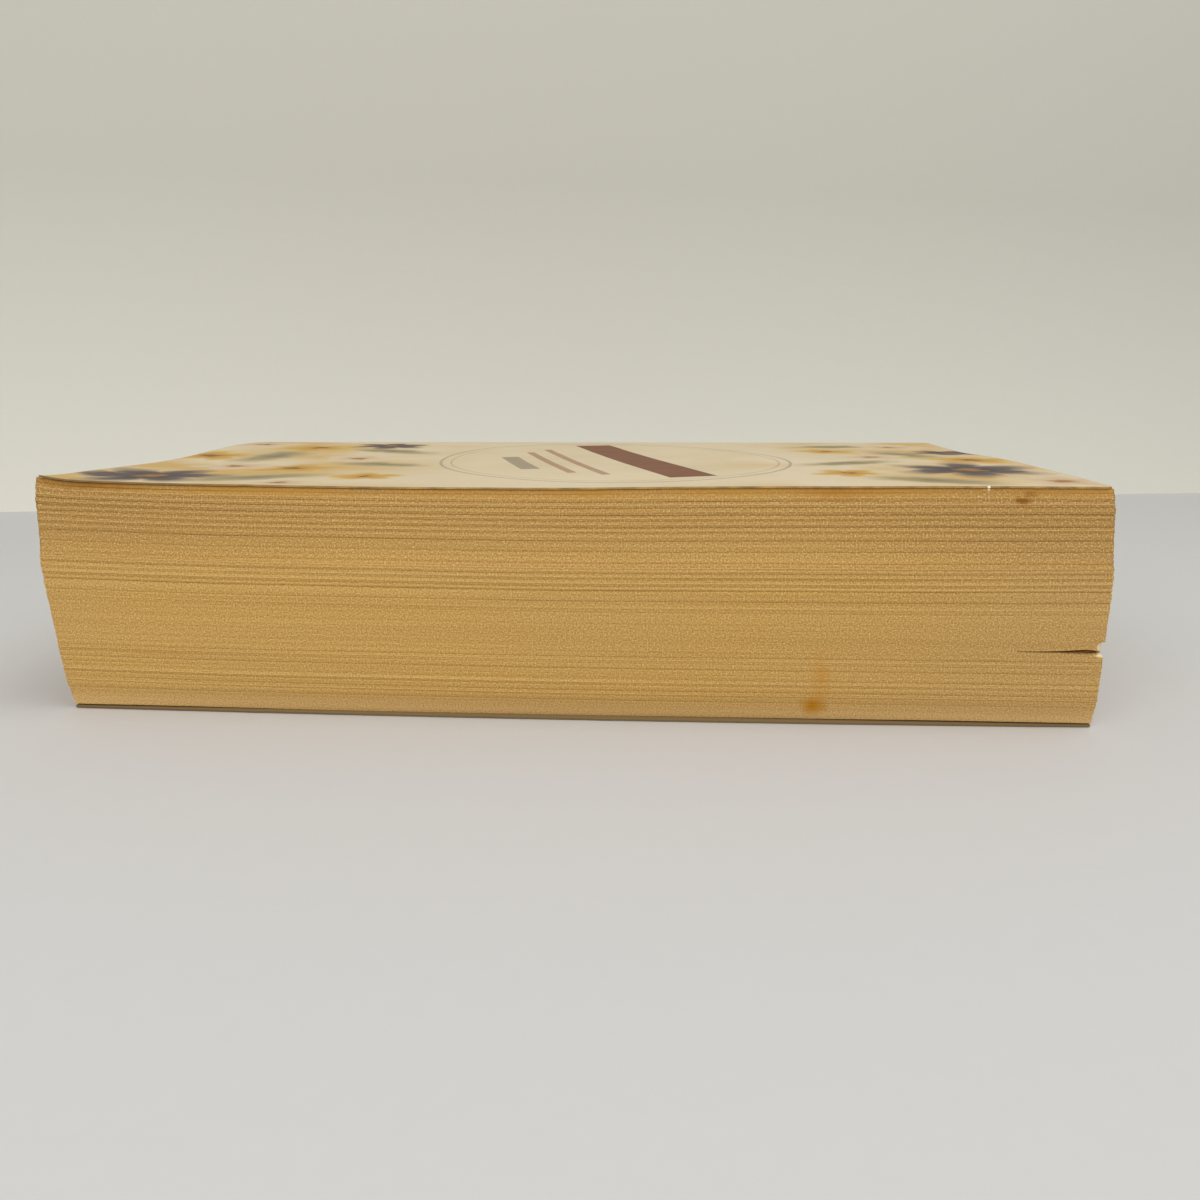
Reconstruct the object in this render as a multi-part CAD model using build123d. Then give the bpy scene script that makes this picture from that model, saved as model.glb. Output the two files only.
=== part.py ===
from build123d import *
import os

# A thick paperback that lies on its back cover, all lengths in millimetres.
# X runs from tail to head, Y from fore-edge to spine, Z up from the table.
# While the pieces are made, the fore-edge of the front cover is at Y = 0.

# Leaves
leaf_height = 175.0  # tail to head
leaf_width = 107.2  # fore-edge to spine
leaf_thickness = 0.0872
# Leaves cling together in bundles, here from the foot up. Each pair is a count of
# leaves and how far that bundle is pushed in from the fore-edge.
lower_bundles = ((50, 0.08), (13, 0.22), (26, 0.0), (22, 0.25), (25, 0.1), (17, 0.2))
middle_bundles = ((76, 0.0), (18, 0.2), (26, 0.05), (17, 0.25), (20, 0.0), (9, 0.2))
upper_bundles = ((46, 0.0), (24, 0.2), (11, 0.05), (15, 0.25), (23, 0.0), (18, 0.2))
ledge_depth = 0.35  # how far the upper bundles are pushed in as one pile
bundle_end_step = 0.12  # how far every other bundle is pushed in at head and tail

# Cover card and glue
card_thickness = 0.3
glue_thickness = 0.5  # set hot melt behind the leaves
side_glue_thickness = 0.25  # thin glue that runs round on to the first and the last leaf
side_glue_reach = 5.5
score_inset = 6.8  # from the spine to the line where a cover turns
spine_edge_radius = 0.6
cover_corner_radius = 1.2

# Shape that the book has taken with reading
foot_setback = 1.7  # foot of the fore-edge behind its top
foot_margin = 1.25  # the back cover stands this far in front of the lowest leaves
fore_edge_belly = 2.55  # bulge of the fore-edge, and hollow of the spine, from the straight line
foot_shift = 1.4  # foot of the block nearer the head than its top
edge_sag = 1.05  # middle of the top fore-edge below its two corners

# The middle bundles were folded at the head corner of the fore-edge and stand apart there
fold_length = 14.0  # along the fore-edge
fold_depth = 9.0  # along the head
fold_gap = 0.6  # opening at the corner
torn_corner = 1.1  # side of the corner that is worn off the leaves above the gap
torn_height = 1.4

# Spare length of cutting solids past the faces that they cut
overcut = 3.0


def pile_height(bundles):
    """How high a pile of bundles stands."""
    return sum(leaves for leaves, _ in bundles) * leaf_thickness


cover_width = leaf_width + glue_thickness + card_thickness
leaves_bottom = card_thickness
fold_height = leaves_bottom + pile_height(lower_bundles)
ledge_height = fold_height + pile_height(middle_bundles)
leaves_top = ledge_height + pile_height(upper_bundles)
card_bottom = leaves_top + side_glue_thickness
book_thickness = card_bottom + card_thickness
score_y = cover_width - score_inset


def lean_y(z):
    """How far the block is pushed towards the spine at height z."""
    up = z / book_thickness
    return foot_setback * (1 - up) - 4 * fore_edge_belly * up * (1 - up)


def lean_x(z):
    """How far the block is pushed towards the head at height z."""
    return foot_shift * (1 - z / book_thickness)


def sag(z):
    """How far the middle of a leaf at height z hangs below its ends, at the fore-edge."""
    return edge_sag * (1 - (1 - z / book_thickness) ** 2)


def leaf_line(y, z):
    """Section through a leaf across X: an arc at the fore-edge, straight from the score line on."""
    half = leaf_height / 2
    reach = half + overcut
    drop = sag(z) * max(0, 1 - y / score_y)
    middle = lean_x(z)
    if drop == 0:
        return Line((middle - reach, z), (middle + reach, z))
    end = z + drop * ((reach / half) ** 2 - 1)
    return ThreePointArc((middle - reach, end), (middle, z - drop), (middle + reach, end))


def layer_section(y, z_low, z_high):
    """Section through a layer of leaves, or through the card, at the depth y."""
    low = leaf_line(y, z_low)
    high = leaf_line(y, z_high)
    ends = [Line(low @ 0, high @ 0), Line(low @ 1, high @ 1)]
    upright = Plane((0, y, 0), x_dir=(1, 0, 0), z_dir=(0, -1, 0))
    return upright * make_face(Wire([low, ends[1], high, ends[0]]))


def layer(z_low, z_high):
    """A sagging layer that is larger than the book in X and Y, to be cut to an outline."""
    depths = (-overcut, score_y, cover_width + overcut)
    return loft([layer_section(y, z_low, z_high) for y in depths], ruled=True)


def bundle_outline(z_low, z_high, pushed_in, end_step):
    """The leaning stack of leaf outlines of one bundle, carried on above and below it."""
    rise = z_high - z_low
    sections = []
    for z in (z_low - overcut, z_high + overcut):
        along = (z - z_low) / rise
        x = lean_x(z_low) + along * (lean_x(z_high) - lean_x(z_low))
        front = lean_y(z_low) + along * (lean_y(z_high) - lean_y(z_low)) + pushed_in
        depth = cover_width + overcut
        outline = Rectangle(leaf_height - 2 * end_step, depth, align=(Align.CENTER, Align.MIN))
        sections.append(Pos(x, front, z) * outline)
    return loft(sections, ruled=True)


def spine_curve(inset, z_low, z_high):
    """The hollow curve of the spine between two heights, the inset inside its outer face."""
    start = cover_width - inset + lean_y(z_low)
    stop = cover_width - inset + lean_y(z_high)
    slope = (lean_y(z_low + overcut) - lean_y(z_low - overcut)) / (2 * overcut)
    tangent = start + slope * (z_high - z_low) / 2
    return Bezier((start, z_low), (tangent, (z_low + z_high) / 2), (stop, z_high))


def side_face(edges):
    """A face in the YZ plane from edges that are drawn as (Y, Z)."""
    return Plane.YZ * make_face(Wire(edges))


def cut_to_ends(profile):
    """A YZ profile run from tail to head, with ends that lean as the block does."""
    long_run = extrude(profile, leaf_height, both=True)
    half = leaf_height / 2
    corners = [(side * half + lean_x(z), z) for side, z in ((-1, 0), (1, 0), (1, book_thickness), (-1, book_thickness))]
    trim = Plane.XZ * make_face(Polyline(*corners, close=True))
    return long_run & extrude(trim, 2 * cover_width, both=True)


def milled_block():
    """Everything in front of the cut spine edge of the leaves, less the strip pressed in by the side glue."""
    back = spine_curve(card_thickness + glue_thickness, leaves_bottom, leaves_top)
    front = -cover_width
    strip_start = (back @ 0).X - side_glue_reach
    face = side_face([
        back,
        Line(back @ 1, (front, leaves_top)),
        Line((front, leaves_top), (front, leaves_bottom)),
        Line((front, leaves_bottom), back @ 0),
    ])
    strip = Pos(0, strip_start, leaves_bottom) * Box(
        2 * leaf_height, side_glue_reach + overcut, side_glue_thickness, align=(Align.CENTER, Align.MIN, Align.MIN)
    )
    return extrude(face, leaf_height, both=True) - strip


def folded_corner():
    """The opening under the leaves that were folded, and the corner worn off above it."""
    corner = Vector(leaf_height / 2 + lean_x(fold_height), lean_y(fold_height), fold_height)
    fore = corner - Vector(fold_length, 0, 0)
    head = corner + Vector(0, fold_depth, 0)
    crease = head - fore
    outward = Vector(crease.Y, -crease.X, 0).normalized()
    depth = abs((corner - fore).dot(outward))
    across = Plane(fore, x_dir=outward, z_dir=crease)
    tip = 2 * depth
    opening = across * make_face(Polyline((0, 0), (tip, fold_gap), (tip, -fold_gap), close=True))
    wedge = extrude(opening, 2 * crease.length, both=True)
    worn = Pos(corner) * Rot(0, 0, 45) * Box(torn_corner * 2 ** 0.5, torn_corner * 2 ** 0.5, torn_height,
                                            align=(Align.CENTER, Align.CENTER, Align.MIN))
    return wedge, worn


def make_pages():
    """The whole block of leaves, in bundles that stand a little in and out of one another."""
    set_back = [(leaves, pushed_in + ledge_depth) for leaves, pushed_in in upper_bundles]
    bundles = []
    z = leaves_bottom
    for number, (leaves, pushed_in) in enumerate([*lower_bundles, *middle_bundles, *set_back]):
        top = z + leaves * leaf_thickness
        end_step = bundle_end_step * (number % 2)
        bundles.append(layer(z, top) & bundle_outline(z, top, pushed_in, end_step))
        z = top
    block = bundles[0].fuse(*bundles[1:]) & milled_block()
    for cut in folded_corner():
        block = block - cut
    return block


def make_spine_glue():
    """Hot melt behind the leaves, with a thin strip on the first and on the last leaf."""
    low = leaves_bottom + side_glue_thickness
    inner = spine_curve(card_thickness + glue_thickness, low, leaves_top)
    outer = spine_curve(card_thickness, leaves_bottom, card_bottom)
    last_leaf = spine_curve(card_thickness + glue_thickness, leaves_bottom, leaves_top) @ 0
    below = last_leaf.X - side_glue_reach
    above = (inner @ 1).X - side_glue_reach
    return cut_to_ends(side_face([
        outer,
        Line(outer @ 1, (above, card_bottom)),
        Line((above, card_bottom), (above, leaves_top)),
        Line((above, leaves_top), inner @ 1),
        inner,
        Line(inner @ 0, (below, low)),
        Line((below, low), (below, leaves_bottom)),
        Line((below, leaves_bottom), outer @ 0),
    ]))


def make_spine_cover():
    """The card between the two score lines: the spine and a glued strip on each side."""
    outer = spine_curve(0, 0, book_thickness)
    inner = spine_curve(card_thickness, card_thickness, card_bottom)
    below = score_y + lean_y(0)
    above = score_y + lean_y(book_thickness)
    profile = make_face(Wire([
        outer,
        Line(outer @ 1, (above, book_thickness)),
        Line((above, book_thickness), (above, card_bottom)),
        Line((above, card_bottom), inner @ 1),
        inner,
        Line(inner @ 0, (below, card_thickness)),
        Line((below, card_thickness), (below, 0)),
        Line((below, 0), outer @ 0),
    ]))
    bends = [v for v in profile.vertices() if v.Y in (0, book_thickness) and v.X > score_y + score_inset / 2]
    return cut_to_ends(Plane.YZ * fillet(bends, spine_edge_radius))


def cover_outline(z, margin):
    """A cover seen from above at height z, the margin in front of the leaves, with two worn corners."""
    panel = Rectangle(leaf_height, score_y + margin, align=(Align.CENTER, Align.MIN))
    corners = panel.vertices().group_by(Axis.Y)[0]
    return Pos(lean_x(z), lean_y(z) - margin, 0) * fillet(corners, cover_corner_radius)


def make_front_cover():
    """The front panel, sagging with the leaves under it."""
    outline = extrude(cover_outline(book_thickness, 0), book_thickness + overcut)
    return layer(card_bottom, book_thickness) & outline


def make_back_cover():
    """The back panel, flat on the table and a little in front of the lowest leaves."""
    return extrude(cover_outline(0, foot_margin), card_thickness)


pieces = {
    "pages": make_pages(),
    "spine_glue": make_spine_glue(),
    "spine_cover": make_spine_cover(),
    "front_cover": make_front_cover(),
    "back_cover": make_back_cover(),
}

# The origin is under the middle of the whole book
middle = Compound(list(pieces.values())).bounding_box().center()
os.makedirs("parts", exist_ok=True)
for name, piece in pieces.items():
    export_step(Pos(-middle.X, -middle.Y, 0) * piece, f"parts/{name}.step")

for name, z in (("front", book_thickness), ("back", 0)):
    print(name, "cover turns about the line at Y", round(score_y + lean_y(z) - middle.Y, 3), "Z", round(z, 3))
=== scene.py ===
import math
import random

import bmesh
import bpy
from mathutils import Matrix, Vector, noise
import numpy as np


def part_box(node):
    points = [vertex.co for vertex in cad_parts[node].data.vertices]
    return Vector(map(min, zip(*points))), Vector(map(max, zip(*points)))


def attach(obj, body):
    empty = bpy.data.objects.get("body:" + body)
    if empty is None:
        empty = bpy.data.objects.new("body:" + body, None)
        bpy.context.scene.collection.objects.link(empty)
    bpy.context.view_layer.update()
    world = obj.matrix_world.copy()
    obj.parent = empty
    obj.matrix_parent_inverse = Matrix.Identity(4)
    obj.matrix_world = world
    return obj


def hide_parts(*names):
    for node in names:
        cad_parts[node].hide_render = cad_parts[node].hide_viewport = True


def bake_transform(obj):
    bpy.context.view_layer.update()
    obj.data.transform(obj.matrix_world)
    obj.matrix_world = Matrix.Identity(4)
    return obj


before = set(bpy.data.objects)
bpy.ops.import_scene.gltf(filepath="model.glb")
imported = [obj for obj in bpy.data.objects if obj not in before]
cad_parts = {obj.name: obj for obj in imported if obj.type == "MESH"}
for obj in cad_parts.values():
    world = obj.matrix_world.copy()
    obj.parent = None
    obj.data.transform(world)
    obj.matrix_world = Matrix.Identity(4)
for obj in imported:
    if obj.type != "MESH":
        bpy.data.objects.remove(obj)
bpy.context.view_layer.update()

MM = 0.001
same = 0.001  # mm, points nearer than this are at one place

# Flat places are in millimetres: X from the middle of the front cover, Y from its fore-edge, Z up from the
# table. They say where a point was in the unread book, and settle() says where it has come to lie.
front_low, front_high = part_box("front_cover")
middle_x = (front_low.x + front_high.x) / 2 / MM
fore_edge_y = front_low.y / MM

leaf_height = 175.0  # tail to head
leaf_width = 107.2
half_height = leaf_height / 2
card = 0.3
glue = 0.5
side_glue = 0.25
side_glue_reach = 5.5
leaves_bottom = card
leaves_top = 40.063
book_thickness = 40.613
cover_width = 108.0
wrap_width = 2 * cover_width + book_thickness  # fore-edge to fore-edge round the spine
score_y = 101.2
spine_radius = 0.6
turn_y = cover_width - spine_radius  # where the card starts round a spine edge
front_corner_radius = 1.2
back_corner_radius = 0.7

# How far the block has leant towards the spine, at heights up the fore-edge
lean_line = ((0, 1.75), (2.5, 1.1), (4.5, 0.35), (6.5, -0.15), (8.5, -0.4), (10.5, -0.7), (14, -1.05),
             (17, -1.45), (20.5, -1.8), (24.5, -2.15), (27.5, -2.25), (30.5, -1.8), (34.5, -1.5),
             (38.5, -0.95), (40.613, 0.0))
foot_shift = 1.4  # foot of the block nearer the head than its top

# The front cover's four edges, as heights above the plane it had when new
fore_edge_line = ((-87.5, 0.3), (-86, 0.12), (-84, -0.25), (-81, -0.47), (-76, -0.64), (-66, -0.86),
                  (-50, -1.0), (-35, -1.12), (-15, -1.1), (2, -0.98), (16, -0.7), (30, -0.48), (46, -0.32),
                  (62, -0.13), (87.5, 0.0))
spine_edge_line = ((-87.5, -1.0), (0, -0.4), (87.5, 0.2))
tail_edge_line = ((0, 0.3), (2, 0.0), (6, -0.24), (16, -0.46), (30, -0.8), (47, -1.1), (60, -0.85),
                  (72, -0.45), (84, -0.2), (95, -0.35), (108, -1.0))
head_edge_line = ((0, 0.0), (13, 0.2), (27, 0.33), (47, 0.45), (62, 0.2), (79, -0.2), (92, -0.1), (108, 0.2))

# The same for leaves along the fore-edge: height in the unread book, and rise at seven places
places_along = (-87.5, -60, -30, 0, 30, 60, 87.5)
leaf_lines = ((0.3, (0, 0, 0, 0, 0, 0, 0)),
              (6, (0.27, -0.31, -0.58, -0.76, -0.69, -0.56, -0.52)),
              (10, (-0.05, -0.49, -0.65, -0.77, -0.7, -0.57, -0.49)),
              (25, (-0.2, -0.78, -1.03, -1.17, -0.89, -0.67, -0.22)),
              (36, (-0.22, -0.94, -1.15, -1.25, -0.89, -0.5, -0.18)))
leaf_line_reach = 60.0  # behind this depth the leaves lie as the cover does

# How far the lowest leaves have lifted from the back cover
foot_lift_line = ((-87.5, 0.4), (-70, 0.35), (-45, 0.15), (-15, 0.12), (20, 0.18), (42, 0.28), (60, 0.4),
                  (87.5, 0.4))
foot_lift_depth = 2.5  # of the leaves that have lifted, in height and in from the edges
top_lift = 0.2  # the top leaves rise to the front cover
top_lift_depth = 1.2

# Gaps between bundles of leaves: height, and how plain each is at the tail and at the head
gaps = ((3.95, 7.6, 5.0), (5.2, 8.0, 5.8), (6.15, 5.1, 10.4), (7.2, 8.9, 7.5), (8.3, 3.8, 13.0),
        (9.25, 8.1, 1.5), (10.2, 5.5, 9.2), (11.2, 8.0, 4.5), (12.35, 4.7, 9.4), (19.5, 2.6, 0.5),
        (20.35, 0.0, 4.3), (22.3, 7.9, 14.7), (24.2, 13.6, 13.3), (24.9, 7.6, 8.9), (25.95, 11.0, 9.1),
        (27.05, 7.3, 16.0), (28.65, 3.3, 10.4), (29.5, 3.2, 2.0), (30.5, 2.7, 8.1), (32.3, 13.6, 17.0),
        (33.45, 10.1, 4.5), (34.45, 9.0, 19.1), (35.5, 11.5, 4.1), (36.4, 11.8, 19.7), (37.5, 12.0, 4.5),
        (38.4, 11.4, 15.6), (39.45, 14.0, 8.2))
plainest_gap = 20
gap_depth = 1 / 150  # mm for each step of that scale
gap_lip = 0.1
# Leaves that stand proud and catch the light: height, and how plain at the tail and at the head
proud_leaves = ((5.5, 0.5, 0.8), (7.75, 0.7, 0.45), (11.85, 0.7, 0.6), (21.2, 0.25, 0.4), (24.55, 0.8, 0.5),
                (25.45, 0.7, 0.9), (26.5, 0.7, 0.5), (27.5, 0.5, 0.9), (28.0, 0.9, 0.9), (31.4, 0.3, 0.5),
                (33.0, 0.7, 0.4), (33.95, 0.8, 0.9), (34.98, 0.6, 0.5), (35.95, 0.8, 1.0), (36.95, 0.9, 0.5),
                (37.95, 1.0, 1.1), (38.9, 0.8, 0.5))
proud_depth = 0.08
proud_lip = 0.08
ledge_z = 28.1  # the leaves above stand further in
ledge_depth = 0.4
ledge_lip = 0.04

# Leaves folded at the head corner of the fore-edge, which stand apart, and the corner worn off there
fold_z = 14.15
fold_length = 14.0
fold_depth = 9.0
fold_lip = 0.08
fold_opening = ((73.5, 0.0), (78, 0.08), (81, 0.28), (84.5, 0.75), (85.7, 0.62), (86.6, 0.3), (87.5, 0.1))
head_opening = 0.35  # at the corner, seen from the head
upper_lip_rise, lower_lip_drop = 0.5, 0.4  # shares of the opening
deepest_front, deepest_head, deepest_corner = 2.2, 3.0, 1.8
# the level that gives the inside of the fold its painted light
fold_painted_light_level = 3.0
worn_low, worn_high, worn_reach = 13.55, 15.9, 0.95


def through(points, at):
    """Height of the smooth curve through the points."""
    px, py = np.array(points, float).T
    slope = np.gradient(py, px)
    at = np.clip(at, px[0], px[-1])
    i = np.clip(np.searchsorted(px, at) - 1, 0, len(px) - 2)
    run = px[i + 1] - px[i]
    t = (at - px[i]) / run
    return ((2 * t**3 - 3 * t**2 + 1) * py[i] + (t**3 - 2 * t**2 + t) * run * slope[i]
            + (3 * t**2 - 2 * t**3) * py[i + 1] + (t**3 - t**2) * run * slope[i + 1])


def cover_rise(x, y):
    """Height of the settled front cover above its first plane: a patch between its four edges."""
    u = np.clip(x / leaf_height + 0.5, 0, 1)
    v = np.clip(y / cover_width, 0, 1)
    fore, spine = through(fore_edge_line, x), through(spine_edge_line, x)
    tail, head = through(tail_edge_line, y), through(head_edge_line, y)
    tail_fore, head_fore = fore_edge_line[0][1], fore_edge_line[-1][1]
    tail_spine, head_spine = spine_edge_line[0][1], spine_edge_line[-1][1]
    corners = (1 - u) * ((1 - v) * tail_fore + v * tail_spine) + u * ((1 - v) * head_fore + v * head_spine)
    return (1 - v) * fore + v * spine + (1 - u) * tail + u * head - corners


def leaf_rise(x, z):
    """How far leaves along the fore-edge have risen above their height in the unread book."""
    heights = np.array([height for height, _ in leaf_lines] + [leaves_top])
    lines = [tuple(zip(places_along, rises)) for _, rises in leaf_lines] + [fore_edge_line]
    curves = np.array([through(line, x) for line in lines])
    below = np.clip(np.searchsorted(heights, z) - 1, 0, len(heights) - 2)
    part = np.clip((z - heights[below]) / (heights[below + 1] - heights[below]), 0, 1)
    each = np.arange(len(x))
    return (1 - part) * curves[below, each] + part * curves[below + 1, each]


def settle(flat):
    """Where points of the unread book lie now, in metres."""
    x, y, z = flat.T
    share = 1 - (1 - np.clip((z - card) / (book_thickness - card), 0, 1)) ** 2
    near_fore_edge = np.clip(1 - y / leaf_line_reach, 0, 1) ** 2
    rise = share * cover_rise(x, y) + near_fore_edge * (leaf_rise(x, z) - share * cover_rise(x, 0 * y))
    return MM * np.stack((x + foot_shift * (1 - z / book_thickness) + middle_x,
                          y + through(lean_line, z) + fore_edge_y, z + rise), axis=1)


def drift(x, y, z):
    """A smooth value from -1 to 1 at each place, the same each run."""
    return np.array([noise.noise(Vector(place)) for place in zip(x, y, z)])


def select(obj, kind, wanted):
    """Selects the edges or faces of the edit mesh that the test picks, and nothing else."""
    bpy.ops.mesh.select_mode(type=kind)
    bpy.ops.mesh.select_all(action="DESELECT")
    mesh = bmesh.from_edit_mesh(obj.data)
    for part in {"EDGE": mesh.edges, "FACE": mesh.faces}[kind]:
        if wanted(part):
            part.select = True
    mesh.select_flush_mode()
    bmesh.update_edit_mesh(obj.data)


def start_box(name, low, high):
    """A box between two corners, in flat millimetres, left in edit mode."""
    bpy.ops.object.select_all(action="DESELECT")
    size = Vector(high) - Vector(low)
    bpy.ops.mesh.primitive_cube_add(size=1, location=(Vector(low) + Vector(high)) / 2, scale=size)
    obj = bpy.context.object
    obj.name = name
    bpy.ops.object.transform_apply(location=True, rotation=True, scale=True)
    bpy.ops.object.mode_set(mode="EDIT")
    return obj


def slice_at(axis, places):
    """Cuts the whole edit mesh through at each place along the axis."""
    for place in places:
        bpy.ops.mesh.select_all(action="SELECT")
        bpy.ops.mesh.bisect(plane_co=[place if i == axis else 0 for i in range(3)],
                            plane_no=[1 if i == axis else 0 for i in range(3)])


def from_both_ends(distances):
    """Places along X that lie so far in from the head and from the tail."""
    return [side * (half_height - distance) for side in (1, -1) for distance in distances]


def runs_along(axis, edge):
    run = edge.verts[1].co - edge.verts[0].co
    return abs(run[axis]) > 0.98 * run.length


def flat_points(obj):
    """The mesh's vertices, back in object mode."""
    bpy.ops.object.mode_set(mode="OBJECT")
    co = np.zeros(len(obj.data.vertices) * 3)
    obj.data.vertices.foreach_get("co", co)
    return co.reshape(-1, 3)


def lay(obj, flat, pattern_place):
    """Keeps the flat places that the materials follow, and lays the mesh as the book has settled."""
    attribute = obj.data.attributes.new("flat_mm", "FLOAT_VECTOR", "POINT")
    attribute.data.foreach_set("vector", pattern_place.astype(np.float32).ravel())
    obj.data.vertices.foreach_set("co", settle(flat).astype(np.float32).ravel())
    obj.data.update()
    bpy.ops.object.select_all(action="DESELECT")
    obj.select_set(True)
    bpy.context.view_layer.objects.active = obj
    bpy.ops.object.shade_smooth_by_angle(angle=math.radians(40))


# Materials. Patterns follow the flat places, so a noise's Scale is its repeats in a millimetre.
def linear(colour):
    """A hex colour as it is seen, turned to the linear value that nodes take."""
    parts = [int(colour[i:i + 2], 16) / 255 for i in (1, 3, 5)]
    return [c / 12.92 if c <= 0.04045 else ((c + 0.055) / 1.055) ** 2.4 for c in parts] + [1.0]


def node(tree, kind, inputs=None, **settings):
    """Adds a node. An input is a number, a hex colour, a socket, or a node, of which the first output
    in use is linked."""
    new = tree.nodes.new("ShaderNode" + kind)
    for name, value in settings.items():
        setattr(new, name, value)
    for name, value in (inputs or {}).items():
        if isinstance(value, bpy.types.Node):
            value = next(output for output in value.outputs if output.enabled)
        if isinstance(value, bpy.types.NodeSocket):
            tree.links.new(value, new.inputs[name])
        else:
            new.inputs[name].default_value = linear(value) if isinstance(value, str) else value
    return new


def start_material(name):
    """A new material with an empty node tree."""
    material = bpy.data.materials.new(name)
    material.use_nodes = True
    material.node_tree.nodes.clear()
    return material, material.node_tree


def finish_material(material, inputs):
    """Gives the material its shader."""
    shader = node(material.node_tree, "BsdfPrincipled", inputs)
    node(material.node_tree, "OutputMaterial", {"Surface": shader})
    return material


def lay_colours(tree, colour, layers):
    """Lays colours over one another. A layer has its tint, its strength, and the bands that it shows in:
    a value, where that starts to show and where it shows in full."""
    for tint, share, *bands in layers:
        for value, start, full in bands:
            share = node(tree, "MapRange", {"Value": value, "From Min": start, "From Max": full, "To Max": share})
        colour = node(tree, "Mix", {0: share, 6: colour, 7: tint}, data_type="RGBA")
    return colour


def stain_and_highlight_layers(tree, place, stains):
    """A layer for each stain or painted highlight with a ragged rim. Each has its middle, its radii, how ragged
    and how soft it is, its strength and its tint."""
    layers = []
    for middle, radii, ragged, soft, strength, tint in stains:
        rags = node(tree, "TexNoise", {"Vector": place, "Scale": 1.3 / max(min(radii), 0.4), "Detail": 3.0})
        push = node(tree, "VectorMath", {0: rags.outputs["Color"], 1: (0.5, 0.5, 0.5)}, operation="SUBTRACT")
        push = node(tree, "VectorMath", {0: push, 1: [2 * ragged * radius for radius in radii]},
                    operation="MULTIPLY")
        moved = node(tree, "VectorMath", {0: place, 1: push}, operation="ADD")
        own_place = node(tree, "VectorMath", {0: moved, 1: middle}, operation="SUBTRACT")
        own_place = node(tree, "VectorMath", {0: own_place, 1: radii}, operation="DIVIDE")
        out = node(tree, "VectorMath", {0: own_place}, operation="LENGTH")
        layers.append((tint, strength, (out, 1.0, 1.0 - soft)))
    return layers


edge_stains_and_highlights = (
    # the first leaves, darkest at two places
    ((43.5, 0, 39.6), (8.0, 3, 1.6), 0.5, 0.8, 0.6, "#A46F29"),
    ((-80, 0, 40.0), (13.0, 3, 1.3), 0.4, 0.8, 0.75, "#84571E"),
    # damp marks
    ((42.0, 0, 8.6), (2.1, 3, 5.9), 0.4, 0.95, 0.6, "#B98434"),
    ((40.9, 0, 3.6), (2.9, 3, 3.1), 0.35, 0.9, 1.0, "#B2780E"),
    ((73.2, 0, 38.45), (1.6, 2, 0.7), 0.6, 0.6, 0.95, "#84541B"),
    ((74.4, 0, 39.3), (1.5, 2, 0.6), 0.7, 0.7, 0.65, "#84541B"),
    # painted highlight where the torn leaves of the worn head corner catch the light
    ((87.5, 0.3, 15.0), (1.5, 1.6, 1.0), 0.3, 0.4, 0.9, "#EBD8AF"),
    ((87.3, 0.3, 13.6), (1.4, 1.4, 0.4), 0.3, 0.4, 0.9, "#EBD8AF"),
    # paper newly torn is still pale
    ((67.95, 0, 40.1), (0.28, 2, 0.45), 0.3, 0.4, 0.9, "#EBD8AF"),
)


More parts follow.
